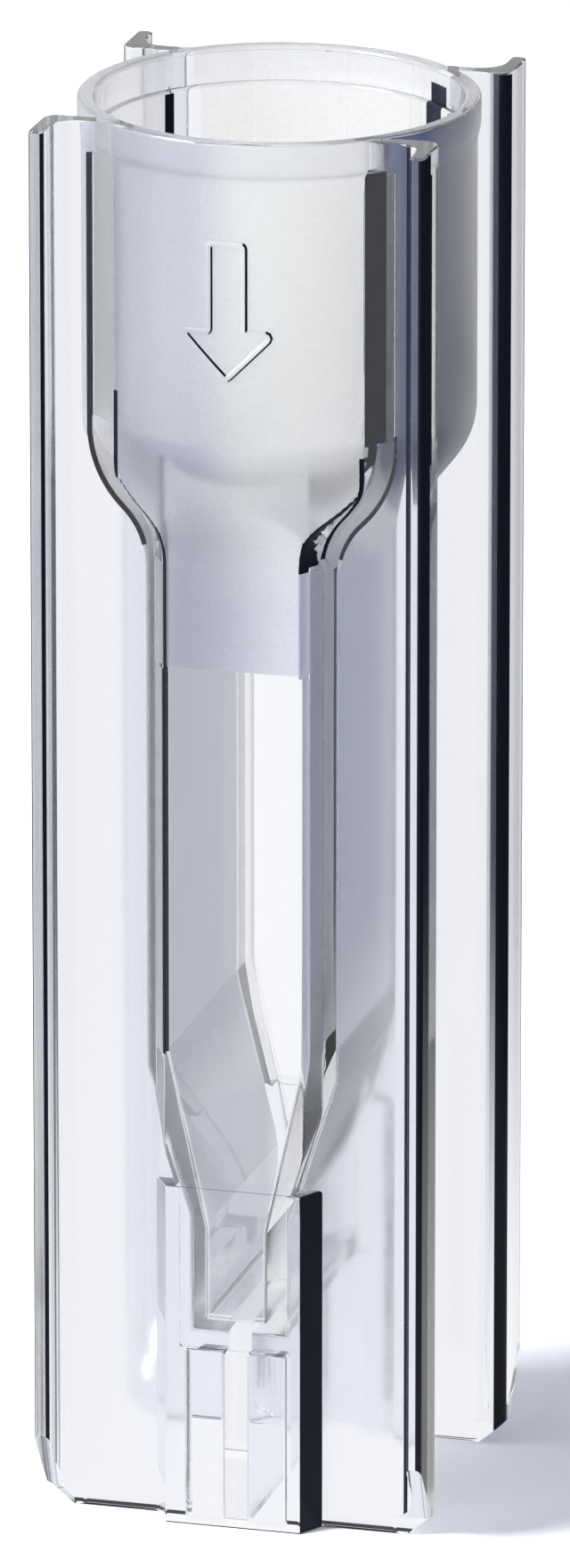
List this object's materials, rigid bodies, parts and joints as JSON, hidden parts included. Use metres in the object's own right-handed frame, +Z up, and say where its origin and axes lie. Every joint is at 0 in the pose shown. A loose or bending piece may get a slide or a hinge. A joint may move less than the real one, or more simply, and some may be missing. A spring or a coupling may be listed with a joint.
{
  "type": "micro cuvette",
  "caption": "Clear square-footprint cuvette with a round filling cup, a funnel and a narrow windowed measuring chamber between two finned plates.",
  "frame": {"origin": "middle of the base, on the surface it stands on", "axes": "+Z up along the cuvette's length to the mouth, +Y along the light path through the windows, +X across the windows"},
  "size_m": [0.0126, 0.0126, 0.045],
  "materials": {
    "clear_plastic": "clear, polished"
  },
  "bodies": {
    "root": {"cuvette_body": "clear_plastic"}
  },
  "joints": []
}
